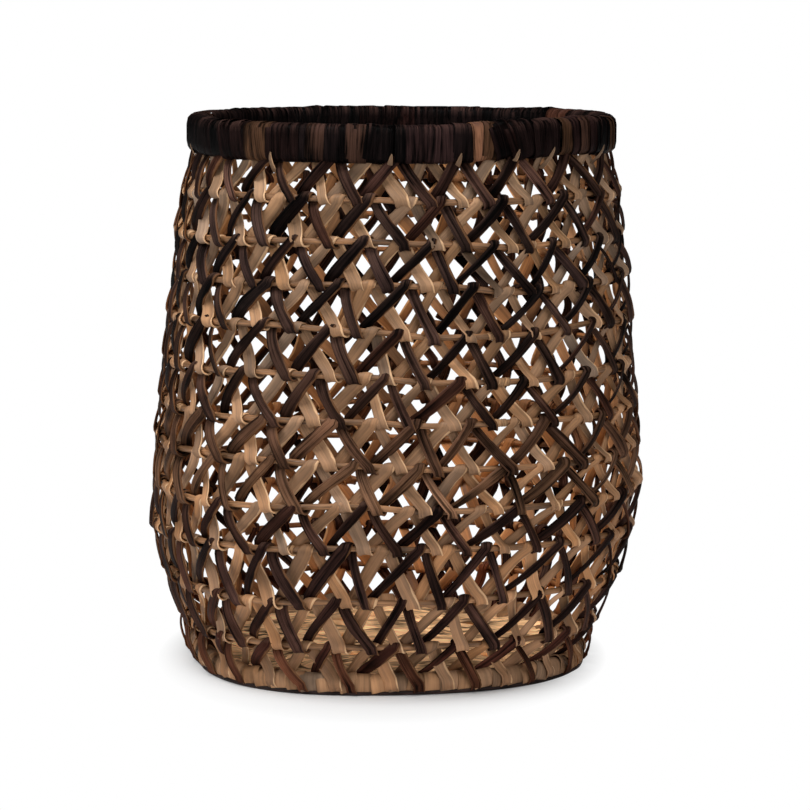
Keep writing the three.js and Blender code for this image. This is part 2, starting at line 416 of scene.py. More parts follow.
def noise(tree, place, scale=1.0, detail=2.0):
    return feed(tree, "ShaderNodeTexNoise", {"Vector": place, "Scale": scale, "Detail": detail})[0]


def blend(tree, share, first, second):
    """Mixes a share of the second colour into the first."""
    sources = {"Factor": share, 6: first, 7: second}
    return feed(tree, "ShaderNodeMix", sources, data_type="RGBA")[2]


def named(tree, name, data_type="FLOAT_VECTOR"):
    return feed(tree, "GeometryNodeInputNamedAttribute", {"Name": name}, data_type=data_type)[0]


def captured(tree, geometry, name, value):
    """Holds a value at each point of a curve, and returns the curve and the value."""
    kept = tree.nodes.new("GeometryNodeCaptureAttribute")
    kept.capture_items.new("FLOAT", name)
    tree.links.new(geometry, kept.inputs[0])
    tree.links.new(value, kept.inputs[name])
    return kept.outputs[0], kept.outputs[name]


def new_tree(name, sockets):
    tree = bpy.data.node_groups.new(name, "GeometryNodeTree")
    tree.interface.new_socket("Geometry", in_out="INPUT", socket_type="NodeSocketGeometry")
    for label, kind, default in sockets:
        socket = tree.interface.new_socket(label, in_out="INPUT", socket_type="NodeSocket" + kind)
        if default is not None:
            socket.default_value = default
    tree.interface.new_socket("Geometry", in_out="OUTPUT", socket_type="NodeSocketGeometry")
    return tree


def strip_section(tree, given):
    """The section of a strip, one unit wide: an oval with its sides drawn flat, bent into a shallow cup."""
    circle = feed(tree, "GeometryNodeCurvePrimitiveCircle", {"Resolution": given["Corners"], "Radius": 0.5})
    place = feed(tree, "GeometryNodeInputPosition")[0]
    parts = feed(tree, "ShaderNodeSeparateXYZ", {0: place})
    height = times(tree, maths(tree, "ABSOLUTE", parts[1]), 2.0)
    size = maths(tree, "POWER", height, given["Roundness"])
    half = times(tree, times(tree, size, given["Thickness"]), 0.5)
    signed = times(tree, maths(tree, "SIGN", parts[1]), half)
    squared = maths(tree, "POWER", maths(tree, "ABSOLUTE", parts[0]), 2.0)
    bend = times(tree, squared, given["Cup"])
    flat = combined(tree, maths(tree, "SUBTRACT", signed, bend), parts[0])
    shaped = feed(tree, "GeometryNodeSetPosition", {"Geometry": circle[0], "Position": flat})
    return captured(tree, shaped[0], "Across", parts[1])  # once shaped, Y runs across it


def sweep_strip(tree, given, curve, normal, breadth):
    """Sweeps the section along curves that face a given way, with its own map and its fibre ridges."""
    faced = feed(tree, "GeometryNodeSetCurveNormal", {"Curve": curve, "Normal": normal}, mode="FREE")
    distance = feed(tree, "GeometryNodeSplineParameter")["Length"]
    path, along = captured(tree, faced[0], "Along", distance)
    section, across = strip_section(tree, given)
    sources = {"Curve": path, "Profile Curve": section, "Scale": breadth, "Fill Caps": True}
    swept = feed(tree, "GeometryNodeCurveToMesh", sources)
    sources = {"Geometry": swept[0], "Name": "strip", "Value": combined(tree, across, along)}
    mapped = feed(tree, "GeometryNodeStoreNamedAttribute", sources, data_type="FLOAT2", domain="CORNER")
    widths = times(tree, across, given["Ridges"])
    lengths = plus(tree, along, named(tree, "start", "FLOAT"))
    lengths = maths(tree, "DIVIDE", lengths, given["Ridge length"])
    ridges = noise(tree, combined(tree, widths, lengths, given["Seed"]))
    depth = times(tree, maths(tree, "SUBTRACT", ridges, 0.5), given["Ridge depth"])
    offset = scaled(tree, feed(tree, "GeometryNodeInputNormal")[0], depth)
    return feed(tree, "GeometryNodeSetPosition", {"Geometry": mapped[0], "Offset": offset})[0]


STRIP_SOCKETS = [
    ("Corners", "Int", 12),
    ("Thickness", "Float", 0.11),
    ("Roundness", "Float", 0.35),
    ("Cup", "Float", 0.0),
    ("Ridges", "Float", 5.0),
    ("Ridge length", "Float", 30 * MM),
    ("Ridge depth", "Float", 0.4 * MM),
    ("Seed", "Float", 0.0),
    ("Material", "Material", None),
]


def finish_tree(tree, geometry, material):
    real = feed(tree, "GeometryNodeRealizeInstances", {"Geometry": geometry})
    smooth = feed(tree, "GeometryNodeSetShadeSmooth", {"Geometry": real[0], "Shade Smooth": True})
    painted = feed(tree, "GeometryNodeSetMaterial", {"Geometry": smooth[0], "Material": material})
    feed(tree, "NodeGroupOutput", {0: painted[0]})


def strip_tree():
    """Draws each path of the source as a strip, by the facing and breadth held at its points."""
    tree = new_tree("Drawn strip", STRIP_SOCKETS)
    given = feed(tree, "NodeGroupInput")
    curve = feed(tree, "GeometryNodeMeshToCurve", {"Mesh": given["Geometry"]})[0]
    facing = named(tree, "facing")
    breadth = named(tree, "breadth", "FLOAT")
    finish_tree(tree, sweep_strip(tree, given, curve, facing, breadth), given["Material"])
    return tree


def wrap_tree():
    """Lays a loop of strip round a bundle at each point of the source, uneven as hand winding is."""
    extra = [("Loop", "Object", None), ("Breadth", "Float", 9 * MM), ("Unevenness", "Float", 0.04)]
    tree = new_tree("Wound loops", STRIP_SOCKETS + extra)
    given = feed(tree, "NodeGroupInput")
    loop = feed(tree, "GeometryNodeObjectInfo", {"Object": given["Loop"]})["Geometry"]
    curve = feed(tree, "GeometryNodeMeshToCurve", {"Mesh": loop})[0]
    swept = sweep_strip(tree, given, curve, named(tree, "facing"), given["Breadth"])
    axes = {"Primary Axis": named(tree, "outward"), "Secondary Axis": named(tree, "upward")}
    turned = feed(tree, "FunctionNodeAxesToRotation", axes, primary_axis="X", secondary_axis="Z")
    least = maths(tree, "SUBTRACT", 1.0, given["Unevenness"])
    most = plus(tree, 1.0, given["Unevenness"])
    low = combined(tree, least, LOOP_BREADTHS[0], least)
    high = combined(tree, most, LOOP_BREADTHS[1], most)
    sizes = feed(tree, "FunctionNodeRandomValue", {0: low, 1: high, "Seed": 3}, data_type="FLOAT_VECTOR")
    sources = {"Points": given["Geometry"], "Instance": swept}
    sources.update({"Rotation": turned[0], "Scale": sizes[0]})
    placed = feed(tree, "GeometryNodeInstanceOnPoints", sources)
    finish_tree(tree, placed[0], given["Material"])
    return tree


def path_mesh(name, paths):
    """A mesh of bare edges along paths, which holds at each point what the trees read there."""
    points = np.concatenate([path["points"] for path in paths])
    edges = []
    first = 0
    for path in paths:
        count = len(path["points"])
        edges += [(first + i, first + i + 1) for i in range(count - 1)]
        if path.get("closed"):
            edges.append((first + count - 1, first))
        first += count
    mesh = bpy.data.meshes.new(name)
    mesh.from_pydata(points.tolist(), edges if not paths[0].get("loose") else [], [])
    for key, kind, field in (
        ("facing", "FLOAT_VECTOR", "vector"),
        ("outward", "FLOAT_VECTOR", "vector"),
        ("upward", "FLOAT_VECTOR", "vector"),
        ("breadth", "FLOAT", "value"),
        ("start", "FLOAT", "value"),
        ("tint", "FLOAT_COLOR", "color"),
    ):
        if key in paths[0]:
            values = np.concatenate([np.asarray(path[key], float) for path in paths])
            if key == "tint":
                values = np.column_stack([values, np.ones(len(values))])
            mesh.attributes.new(key, kind, "POINT").data.foreach_set(field, values.astype(np.float32).ravel())
    return mesh


def keep_object(name, data):
    made = bpy.data.objects.new(name, data)
    bpy.context.scene.collection.objects.link(made)
    return made


def grow(name, paths, tree, **values):
    """Runs a tree along paths, with values for its sockets by name, and keeps the result as a plain mesh."""
    carrier = keep_object(name + "_source", path_mesh(name + "_source", paths))
    modifier = carrier.modifiers.new("Grow", "NODES")
    modifier.node_group = tree
    for item in tree.interface.items_tree:
        key = item.name.lower().replace(" ", "_")
        if item.item_type == "SOCKET" and item.in_out == "INPUT" and key in values:
            modifier[item.identifier] = values[key]
    graph = bpy.context.evaluated_depsgraph_get()
    grown = carrier.evaluated_get(graph)
    mesh = bpy.data.meshes.new_from_object(grown, preserve_all_data_layers=True, depsgraph=graph)
    if not mesh.polygons:
        raise RuntimeError(f"{name} came out empty")
    mesh.name = name
    places = np.empty(len(mesh.vertices) * 3, np.float32)
    mesh.vertices.foreach_get("co", places)
    places[2::3] = np.maximum(places[2::3], 0)  # what presses on the ground lies flat there
    mesh.vertices.foreach_set("co", places)
    carrier.modifiers.clear()
    bpy.data.objects.remove(carrier)
    for key in ("facing", "breadth", "outward", "upward"):
        if key in mesh.attributes:
            mesh.attributes.remove(mesh.attributes[key])
    return keep_object(name, mesh)


def attach(piece, slot, *nodes):
    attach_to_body(piece, "root")
    if nodes:
        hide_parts(*nodes)


def fibre_material(
    name, fibres, length, contrast, bump, shine, gloss=0.15, edge=None, painted_inside_light=None, painted_top_highlight=None
):
    """Plant fibre: long grain along the strip's own map, and blotches.

    It may have a paler cut edge, painted warm light on the faces that turn inwards, and a painted highlight
    on the ridges that face up.
    """
    material = bpy.data.materials.new(name)
    material.use_nodes = True
    tree = material.node_tree
    shader = tree.nodes["Principled BSDF"]
    place = feed(tree, "ShaderNodeUVMap", uv_map="strip")[0]
    objects = feed(tree, "ShaderNodeTexCoord")["Object"]
    across, along = feed(tree, "ShaderNodeSeparateXYZ", {0: place})[:2]
    start = feed(tree, "ShaderNodeAttribute", attribute_name="start")["Fac"]
    along = plus(tree, along, start)
    blotches = noise(tree, objects, 38.0, 3.0)

    def streaks(count, reach):
        widths = times(tree, across, count)
        lengths = maths(tree, "DIVIDE", along, reach)
        drawn = noise(tree, combined(tree, widths, lengths, blotches))
        return spread(tree, drawn, 0.38, 0.62)

    bundles = streaks(fibres, length)
    threads = streaks(fibres * 3.5, length * 0.6)
    grain = plus(tree, times(tree, bundles, 0.6), times(tree, threads, 0.4))
    patches = spread(tree, blotches, 0.3, 0.7)
    mixed = plus(tree, times(tree, grain, 0.7), times(tree, patches, 0.3))
    level = spread(tree, mixed, 0.15, 0.85, 1 - contrast, 1 + contrast)
    tint = feed(tree, "ShaderNodeAttribute", attribute_name="tint")["Color"]
    colour = scaled(tree, tint, level)
    if edge:
        beyond = plus(tree, across, spread(tree, blotches, 0.38, 0.66, -0.1, 0.1))
        share = spread(tree, beyond, 0.36, 0.42, 0.0, 0.85)
        colour = blend(tree, share, colour, (*edge, 1.0))
    normal = feed(tree, "ShaderNodeNewGeometry")["Normal"]
    # Painted warm light on the faces that turn in towards the basket's axis
    if painted_inside_light:
        level_place = vector_maths(tree, "MULTIPLY", objects, (1, 1, 0))[0]
        radial = vector_maths(tree, "NORMALIZE", level_place)[0]
        facing = vector_maths(tree, "DOT_PRODUCT", radial, normal)["Value"]
        share = spread(tree, facing, -0.3, 0.3, 1.0, 0.0)
        colour = blend(tree, share, colour, vector_maths(tree, "MULTIPLY", colour, painted_inside_light)[0])
    # A painted highlight on the ridges that face up, where the light from above falls
    if painted_top_highlight:
        height = feed(tree, "ShaderNodeSeparateXYZ", {0: normal})[2]
        raised_fibres = spread(tree, mixed, 0.45, 0.85, 0.0, 0.85)
        share = times(tree, spread(tree, height, 0.1, 0.9, 0.05, 1.0), raised_fibres)
        colour = blend(tree, share, colour, (*painted_top_highlight, 1.0))
    tree.links.new(colour, shader.inputs["Base Color"])
    tree.links.new(spread(tree, grain, 0.2, 0.8, *shine), shader.inputs["Roughness"])
    raised = feed(tree, "ShaderNodeBump", {"Strength": 0.8, "Distance": bump, "Height": grain})
    tree.links.new(raised[0], shader.inputs["Normal"])
    shader.inputs["Specular IOR Level"].default_value = gloss
    return material


def numbers(kind, row=0):
    return np.random.default_rng(1000 * DRAWS[kind] + row)


def round_angles(count):
    return np.linspace(0, 2 * math.pi, count, endpoint=False)


def ring_path(hoop, every, breadth, tint, out=0.0, rise=0.0):
    """A closed path along a hoop, which faces out."""
    return {
        "points": hoop.point(every, out, rise),
        "facing": outward(every),
        "breadth": breadth,
        "tint": tint,
        "closed": True,
    }


def evenly(x, values):
    """Runs through the values, set at even steps from one end of x to the other."""
    return np.interp(x, np.linspace(x[0], x[-1], len(values)), values)


# Laced strips


def fold_points(hoop, centre, under, reach, early, advance, count=10):
    """A strip bent round a hoop from outside to inside: over it, or under it."""
    start, end = (0, math.pi + FOLD_LEAN) if early else (-FOLD_LEAN, math.pi)
    bend = np.linspace(start, end, count)
    angle = centre + advance * np.linspace(-0.5, 0.5, count)
    side = -1 if under else 1
    out = reach[0] * np.cos(bend)
    rise = side * reach[1] * np.sin(bend) + reach[2]
    points = hoop.point(angle, out, rise)
    facing = outward(angle) * (side * np.cos(bend))[:, None] + np.multiply.outer(np.sin(bend), UP)
    return {"points": points, "facing": facing, "angle": angle, "out": out, "rise": rise, "hoop": hoop}


def slope_points(first, last, early, power, bow, count=7):
    """A strip between two folds. A dark one comes to the outside early on its way, a pale one late."""
    share = np.linspace(0, 1, count + 2)[1:-1]
    angle = first["angle"][-1] + (last["angle"][0] - first["angle"][-1]) * share**bow
    moved = 1 - (1 - share) ** power if early else share**power
    out = first["out"][-1] + (last["out"][0] - first["out"][-1]) * moved
    low = first["hoop"].point(angle, out, first["rise"][-1])
    high = last["hoop"].point(angle, out, last["rise"][0])
    points = low * (1 - share)[:, None] + high * share[:, None]
    facing = first["facing"][-1] * (1 - share)[:, None] + last["facing"][0] * share[:, None]
    return {"points": points, "facing": facing, "angle": angle}


def fold_reach(hoop_number, radius):
    """Half width, half height and lift of the fold round a hoop. At the base it takes in the pleats too."""
    if hoop_number == ROWS:
        return (radius + BASE_FOLD[0], radius + BASE_FOLD[1], BASE_FOLD[2])
    return (radius, radius, 0.0)


def lace_path(row, pale, weave, rng):
    """The middle line of one lace, wound in a figure of eight round its two hoops."""
    early = not pale
    way = 2 * math.pi / weave.turns
    radius = weave.pale_reach if pale else weave.dark_reach
    upper = hoops[row - 1]
    lower = hoops[row]
    upper_reach = fold_reach(row - 1, radius)
    lower_reach = fold_reach(row, radius)
    start = FRONT + math.radians(DARK_FOLDS[row - 1]) + math.pi + (weave.pale_lag * way if pale else 0)
    stray = math.radians(weave.wander) * rng.normal(size=(2, weave.turns)) * FOLD_STRAY
    advance = weave.fold_share * way
    height = (upper.middle - lower.middle)[2]
    # With this power a slope sets out in the direction in which its fold ends
    power = math.tan(FOLD_LEAN) * height / ((1 + math.cos(FOLD_LEAN)) * radius)
    bottoms = [start + i * way + stray[0][i % weave.turns] for i in range(weave.turns + 1)]
    bottoms[-1] = bottoms[0] + 2 * math.pi
    parts = []
    runs = []  # counts the straight runs: whole along each, and changing within a fold
    below = fold_points(lower, bottoms[0], True, lower_reach, early, advance)
    for turn in range(weave.turns):
        top = start + (turn + weave.rise_share) * way + stray[1][turn]
        above = fold_points(upper, top, False, upper_reach, early, advance)
        after = fold_points(lower, bottoms[turn + 1], True, lower_reach, early, advance)
        rising = slope_points(below, above, early, power, 1.0)
        falling = slope_points(above, after, early, power, FALLING_BOW)
        parts += [below, rising, above, falling]
        up = 2 * turn
        ends = [(up - 1, up), (up, up), (up, up + 1), (up + 1, up + 1)]
        runs += [np.linspace(*pair, len(part["angle"])) for pair, part in zip(ends, parts[-4:])]
        below = after
    points, facing, angle = [
        np.concatenate([part[key] for part in parts]) for key in ("points", "facing", "angle")
    ]
    return points, unit(facing), angle, np.concatenate(runs)


def twist(points, facing, turn):
    """Turns the facings about the path."""
    side = np.cross(unit(np.gradient(points, axis=0)), facing)
    return facing * np.cos(turn)[:, None] + side * np.sin(turn)[:, None]


def tip_path(place, colour):
    """The pointed end of a strip that comes out from under the rim's binding and lies against it."""
    hoop = hoops[0]
    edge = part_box("rim_binding")[0].z - hoop.middle[2]
    share = np.linspace(0, 1, 9)
    angle = FRONT + math.radians(place) + 0.02 * share
    out = (12 * np.sin(share * math.pi / 2) - 1) * MM
    rise = edge + (17 * share - 9) * MM
    points = hoop.point(angle, out, rise)
    return {
        "points": points,
        "facing": outward(angle),
        "breadth": 6 * MM * np.sqrt(1.02 - share),
        "tint": np.tile(colour, (len(share), 1)),
    }


def make_lace(row, pale, scene, tree, material):
    weave = scene.basket_weave
    kind = "pale" if pale else "dark"
    rng = numbers(kind, row)
    points, facing, angle, runs = lace_path(row, pale, weave, rng)

    def by_run(values):
        return np.interp(runs, np.arange(len(values)) - 1, values)

    count = 2 * weave.turns + 1
    width = weave.pale_width if pale else weave.dark_width
    breadth = width * by_run(rng.uniform(*WIDTH_RANGE, count))
    breadth = breadth * (1 + round_wave(rng, WIDTH_RIPPLE, 20, 90)(angle))
    twisted = rng.normal(size=count) * TWIST
    rare = rng.uniform(size=count) < TWISTED_SHARE
    twisted[rare] = rng.choice([-1, 1], rare.sum()) * rng.uniform(*TWIST_RANGE, rare.sum())
    turned = by_run(twisted) * np.clip(1 - 2 * np.abs(runs - np.round(runs)), 0, 1)
    tone = by_run(rng.normal(size=count)) + round_wave(rng, 0.6, 10, 60)(angle)
    if pale:
        base = np.array(scene.basket_floor.pale_colour) * (1 + PALE_DRIFT * (row - 6) * np.array([1, 0, -1]))
        warm = by_run(rng.normal(size=count))
        tint = base * (1 + PALE_TONE * tone)[:, None] * (1 + np.multiply.outer(warm, PALE_WARMTH))
    else:
        falling = by_run(np.arange(count) % 2 == 0)[:, None]  # shows the bark's other face
        base = np.array(BARK_TINTS[row - 1]) * (1 - falling) + np.array(BACK_TINTS[row - 1]) * falling
        brown = np.clip(by_run(rng.normal(size=count)) * 0.4 - 0.35, 0, 1)[:, None]
        tint = base * np.exp(DARK_TONE * tone)[:, None] * (1 - brown) + np.array(RUSSET) * brown
    path = {
        "points": points,
        "facing": twist(points, facing, turned),
        "breadth": breadth,
        "tint": np.clip(tint, DARKEST, 1),
    }
    paths = [path]
    if pale and row == 1:
        paths += [tip_path(place, tint[0]) for place in TIP_PLACES]
    piece = grow(
        f"{kind}_strip_{row:02d}", paths, tree, thickness=weave.thickness / width, cup=0.45, corners=12,
        seed=float(row + (20 if pale else 0)), material=material,
    )
    attach(piece, f"{kind}_strip", f"{kind}_lace_{row:02d}")


def make_laces(pale, scene, material):
    tree = strip_tree()
    for row in range(1, ROWS + 1):
        make_lace(row, pale, scene, tree, material)


# Wound loops


def loop_mesh(name, outline, rounding, step):
    """A closed path round a bundle's section, out along X and up along Z, with its corners rounded."""
    corners = np.array(outline, float)
    points = []
    for i, here in enumerate(corners):
        before = corners[i - 1] - here
        after = corners[(i + 1) % len(corners)] - here
        cut = min(rounding, np.linalg.norm(before) * 0.45, np.linalg.norm(after) * 0.45)
        first = here + before / np.linalg.norm(before) * cut
        last = here + after / np.linalg.norm(after) * cut
        for share in np.linspace(0, 1, step):
            points.append(first * (1 - share) ** 2 + here * 2 * share * (1 - share) + last * share**2)
    points = np.array(points)
    place = np.column_stack([points[:, 0], np.zeros(len(points)), points[:, 1]])
    ahead = np.roll(place, -1, axis=0) - np.roll(place, 1, axis=0)
    facing = unit(np.cross(np.array([0.0, -1.0, 0.0]), ahead))
    return path_mesh(name, [{"points": place, "facing": facing, "closed": True}])


def wound_points(hoop, count, stray, slant, shingle, tints, rng):
    """Where the loops of a binding stand. Each leans out by the shingle angle, over the next."""
    angle = FRONT + math.pi + np.arange(count) * 2 * math.pi / count
    angle = angle + np.clip(rng.normal(size=count), -1.2, 1.2) * stray * 2 * math.pi / count
    heading = hoop.point(angle + 0.01) - hoop.point(angle - 0.01)
    heading[:, 2] = 0
    heading = unit(heading)
    return {
        "points": hoop.point(angle),
        "outward": np.cross(heading, UP) * math.cos(shingle) + heading * math.sin(shingle),
        "upward": UP + heading * slant(angle)[:, None],
        "start": np.arange(count) * LOOP_STRETCH,
        "tint": tints(angle),
        "loose": True,
    }


def wind(name, outline, rounding, step, paths, **values):
    """Winds loops of strip round a bundle of the given outline, at the points of the paths."""
    loop = keep_object(name + "_loop", loop_mesh(name + "_loop", outline, rounding, step))
    piece = grow(name, paths, wrap_tree(), loop=loop, **values)
    bpy.data.objects.remove(loop)
    return piece


def tie_canes(cane, material):
    """Lashes thin strips round the canes where their ends are joined."""
    rng = numbers("ties")
    half = cane.thickness / 2 + 0.3 * MM
    outline = [(-half, -half), (half, -half), (half, half), (-half, half)]
    paths = []
    for number, place in TIES:
        angle = FRONT + math.radians(place) + np.arange(TIE_LOOPS) * TIE_STEP
        along = outward(angle + math.pi / 2)
        paths.append({
            "points": hoops[number].point(angle),
            "outward": outward(angle),
            "upward": UP + along * rng.uniform(-0.5, 0.5, (TIE_LOOPS, 1)),
            "tint": np.array(TIE_COLOUR) * rng.uniform(0.7, 1.1, (TIE_LOOPS, 1)),
            "loose": True,
        })
    piece = wind(
        "cane_ties", outline, half, 3, paths, corners=8, breadth=3 * MM, thickness=0.35,
        ridge_depth=0.2 * MM, unevenness=0.12, material=material,
    )
    attach(piece, "cane")


def fill_core():
    low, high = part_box("rim_core")
    hoop = hoops[0]
    every = round_angles(180)
    height = high.z - low.z - CORE_SLACK
    rise = (low.z + high.z) / 2 - RIM_DROP - hoop.middle[2]
    breadth = np.full(len(every), height)
    path = ring_path(hoop, every, breadth, np.tile(CORE_COLOUR, (len(every), 1)), rise=rise)
    material = fibre_material(
        "core_fibre", fibres=8, length=0.05, contrast=0.4, bump=0.4 * MM, shine=(0.6, 0.85)
    )
    values = {"thickness": CORE_WIDTH / height, "roundness": 0.6, "material": material}
    piece = grow("rim_bundle", [path], strip_tree(), **values)
    attach(piece, "cane", "rim_core")


def run_cord():
    rng = numbers("edge")
    low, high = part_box("edge_cord")
    hoop = hoops[-1]
    every = round_angles(300)
    wave = round_wave(rng, 0.35 * MM, 5, 40)(every)
    rise = (low.z + high.z) / 2 - hoop.middle[2] + wave * 0.4
    tone = round_wave(rng, 0.35, 4, 50)(every)
    breadth = np.full(len(every), (high.z - low.z) * 0.92)
    tint = np.clip(np.array(EDGE_COLOUR) * (1 + tone)[:, None], DARKEST, 1)
    path = ring_path(hoop, every, breadth, tint, EDGE_OFFSET + wave, rise)
    material = fibre_material(
        "edge_cord_skin", fibres=3.0, length=0.05, contrast=0.7, bump=0.4 * MM, shine=(0.5, 0.8)
    )
    piece = grow(
        "edge_strand", [path], strip_tree(), corners=8, thickness=0.8, roundness=0.8, material=material
    )
    attach(piece, "dark_strip", "edge_cord")


# Stage


def place_camera(stage):
    data = bpy.data.cameras.new("photo_camera")
    data.lens = stage.lens
    data.sensor_width = 36
    camera = keep_object("photo_camera", data)
    middle = (cad_box[0].x + cad_box[1].x) / 2 + CAMERA_SHIFT
    camera.location = (middle, -stage.camera_distance, stage.camera_height)
    aim = Vector((middle, 0, stage.aim_height)) - camera.location
    camera.rotation_euler = aim.to_track_quat("-Z", "Y").to_euler()
    bpy.context.scene.camera = camera


def add_lamp(name, place, size, power):
    data = bpy.data.lights.new(name, "AREA")
    data.shape = "DISK"
    data.size = size
    data.energy = power
    lamp = keep_object(name, data)
    lamp.location = place
    lamp.rotation_euler = (Vector(LAMP_AIM) - lamp.location).to_track_quat("-Z", "Y").to_euler()


def white_world(strength):
    world = bpy.data.worlds.new("white_room")
    bpy.context.scene.world = world
    world.use_nodes = True
    tree = world.node_tree
    tree.nodes.clear()
    path = feed(tree, "ShaderNodeLightPath")
    dull = spread(tree, path["Is Glossy Ray"], 0.0, 1.0, strength, GLOSSY_SHARE * strength)
    level = maths(tree, "MAXIMUM", path["Is Camera Ray"], dull)
    back = feed(tree, "ShaderNodeBackground", {"Color": (1, 1, 1, 1), "Strength": level})
    feed(tree, "ShaderNodeOutputWorld", {"Surface": back[0]})


def floor_material():
    """Pale paper with a painted shadow round the basket's foot, darker as the camera sees it, which fades to
    plain white away from it.
    """
    material = bpy.data.materials.new("pale_floor")
    material.use_nodes = True
    tree = material.node_tree
    tree.nodes.clear()
    objects = feed(tree, "ShaderNodeTexCoord")["Object"]
    low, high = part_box("base_binding")
    foot = ((low.x + high.x) / 2, (low.y + high.y) / 2, 0)
    away = vector_maths(tree, "SUBTRACT", objects, foot)[0]
    # The painted shadow reaches further to the front and back than to the sides
    drawn = vector_maths(tree, "MULTIPLY", away, (1, 0.72, 1))[0]
    distance = vector_maths(tree, "LENGTH", drawn)["Value"]
    reach = (high.x - low.x) / 2
    far = spread(tree, distance, reach - 24 * MM, reach + 26 * MM)
    by_camera = feed(tree, "ShaderNodeLightPath")["Is Camera Ray"]
    seen = times(tree, far, by_camera)
    # Painted shade: the paper is darker to the camera (0.7) than to the light it throws back (0.93)
    paper = feed(tree, "ShaderNodeBsdfDiffuse", {"Color": spread(tree, by_camera, 0.0, 1.0, 0.93, 0.7)})
    white = feed(tree, "ShaderNodeEmission", {"Color": (1, 1, 1, 1), "Strength": 1.0})
    mix = feed(tree, "ShaderNodeMixShader", {0: seen, 1: paper[0], 2: white[0]})
    feed(tree, "ShaderNodeOutputMaterial", {"Surface": mix[0]})
    return material


# Operators


class BASKET_OT_stage(bpy.types.Operator):
    """Sets up the camera, the lamps, the white room and the floor"""

    bl_idname = "basket.stage"
    bl_label = "Set the stage"

    def execute(self, context):
        place_camera(context.scene.basket_stage)
        white_world(ROOM_LIGHT)
        for lamp in LAMPS:
            add_lamp(*lamp)
        mesh = bpy.data.meshes.new("floor")
        corners = [(x * FLOOR_REACH, y * FLOOR_REACH, 0) for x, y in ((-1, -1), (1, -1), (1, 1), (-1, 1))]
        mesh.from_pydata(corners, [], [(0, 1, 2, 3)])
        mesh.materials.append(floor_material())
        keep_object("floor", mesh)
        context.scene.view_settings.view_transform = "Standard"
        return {"FINISHED"}


class BASKET_OT_hoops(bpy.types.Operator):
    """Bends the thirteen canes into hoops"""

    bl_idname = "basket.hoops"
    bl_label = "Bend the hoops"

    def execute(self, context):
        cane = context.scene.basket_cane
        measure_hoops(cane)
        tree = strip_tree()
        # The canes' colour holds painted warm light on the faces that turn inwards
        material = fibre_material(
            "cane_skin", fibres=4, length=0.05, contrast=0.5, bump=0.3 * MM, shine=(0.4, 0.65),
            gloss=0.3, painted_inside_light=INSIDE_WARM_LIGHT,
        )
        every = round_angles(240)
        for i, (node, hoop) in enumerate(zip(CANE_NODES, hoops)):
            rng = numbers("cane", i)
            knots = np.zeros_like(every)
            for place in rng.uniform(0, 2 * math.pi, KNOTS):
                away = (every - place + math.pi) % (2 * math.pi) - math.pi
                knots += np.exp(-((away / KNOT_SPREAD) ** 2))
            tone = round_wave(rng, 0.18, 2, 30)(every)
            breadth = cane.thickness * (1 + round_wave(rng, 0.03, 3, 40)(every) + 0.14 * knots)
            tint = np.array(cane.colour) * (1 + tone - 0.3 * knots)[:, None]
            path = ring_path(hoop, every, breadth, np.clip(tint, 0.01, 1))
            piece = grow(
                f"hoop_{i:02d}", [path], tree, corners=10, thickness=1.0, roundness=1.0,
                ridge_depth=0.25 * MM, seed=40.0 + i, material=material,
            )
            attach(piece, "cane", node)
        tie_canes(cane, material)
        return {"FINISHED"}


class BASKET_OT_dark_laces(bpy.types.Operator):
    """Winds the dark strips, one in each row"""

    bl_idname = "basket.dark_laces"
    bl_label = "Wind the dark strips"

    def execute(self, context):
        # The dark strips' colour holds painted warm light on the faces that turn inwards, and a painted
        # highlight on the ridges that face up
        material = fibre_material(
            "dark_strip_skin", fibres=5, length=0.1, contrast=0.95, bump=0.6 * MM, shine=(0.4, 0.65),
            gloss=0.02, edge=DARK_CUT, painted_inside_light=DARK_INSIDE_WARM_LIGHT, painted_top_highlight=STRIP_TOP_HIGHLIGHT,
        )
        make_laces(False, context.scene, material)
        return {"FINISHED"}


class BASKET_OT_pale_laces(bpy.types.Operator):
    """Winds the pale strips, one in each row, behind the dark ones"""

    bl_idname = "basket.pale_laces"
    bl_label = "Wind the pale strips"

    def execute(self, context):
        # The pale strips' colour holds painted warm light on the faces that turn inwards
        material = fibre_material(
            "pale_strip_skin", fibres=2.8, length=0.14, contrast=0.32, bump=0.4 * MM, shine=(0.5, 0.8),
            gloss=0.25, edge=PALE_CUT, painted_inside_light=INSIDE_WARM_LIGHT,
        )
        make_laces(True, context.scene, material)
        return {"FINISHED"}


